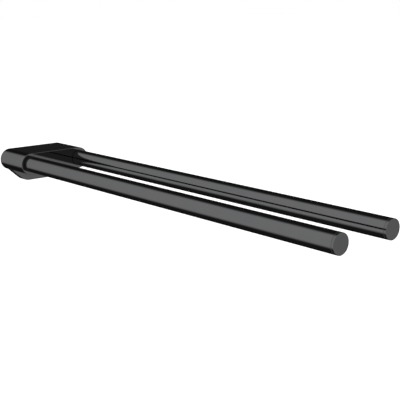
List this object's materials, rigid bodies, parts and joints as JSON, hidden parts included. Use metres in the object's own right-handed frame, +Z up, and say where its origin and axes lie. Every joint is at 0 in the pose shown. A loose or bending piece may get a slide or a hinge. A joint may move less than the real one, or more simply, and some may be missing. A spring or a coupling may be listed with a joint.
{
  "type": "towel rack",
  "caption": "Wall-mounted two-arm towel rack: two parallel round bars held at one end by an obround bracket with a lower wall flange and a hidden wall plate.",
  "frame": {"origin": "on the wall face, midway between the two bar axes and at their height", "axes": "+X to the right along the wall, seen from the room; +Y into the wall, so the bars run towards -Y; +Z up"},
  "size_m": [0.0776, 0.44, 0.0342],
  "materials": {
    "black_chrome": "polished black chrome plating",
    "cap_black": "satin black chrome plating",
    "plate_steel": "stamped stainless steel",
    "screw_steel": "zinc-plated steel",
    "insert_brass": "turned brass",
    "ring_nylon": "black nylon",
    "ring_rubber": "black nitrile rubber"
  },
  "bodies": {
    "root": {"bracket_body": "black_chrome", "wall_plate": "plate_steel", "clamp_screw": "screw_steel", "bar_tube_left": "black_chrome", "bar_tube_right": "black_chrome", "seat_ring_left": "ring_nylon", "seat_ring_right": "ring_nylon", "root_insert_left": "insert_brass", "root_insert_right": "insert_brass", "bar_screw_left": "screw_steel", "bar_screw_right": "screw_steel", "flat_washer_left": "screw_steel", "flat_washer_right": "screw_steel", "spring_washer_left": "screw_steel", "spring_washer_right": "screw_steel", "locating_pin_left": "screw_steel", "locating_pin_right": "screw_steel", "end_cap_left": "cap_black", "end_cap_right": "cap_black", "cap_ring_left": "ring_rubber", "cap_ring_right": "ring_rubber"}
  },
  "joints": []
}
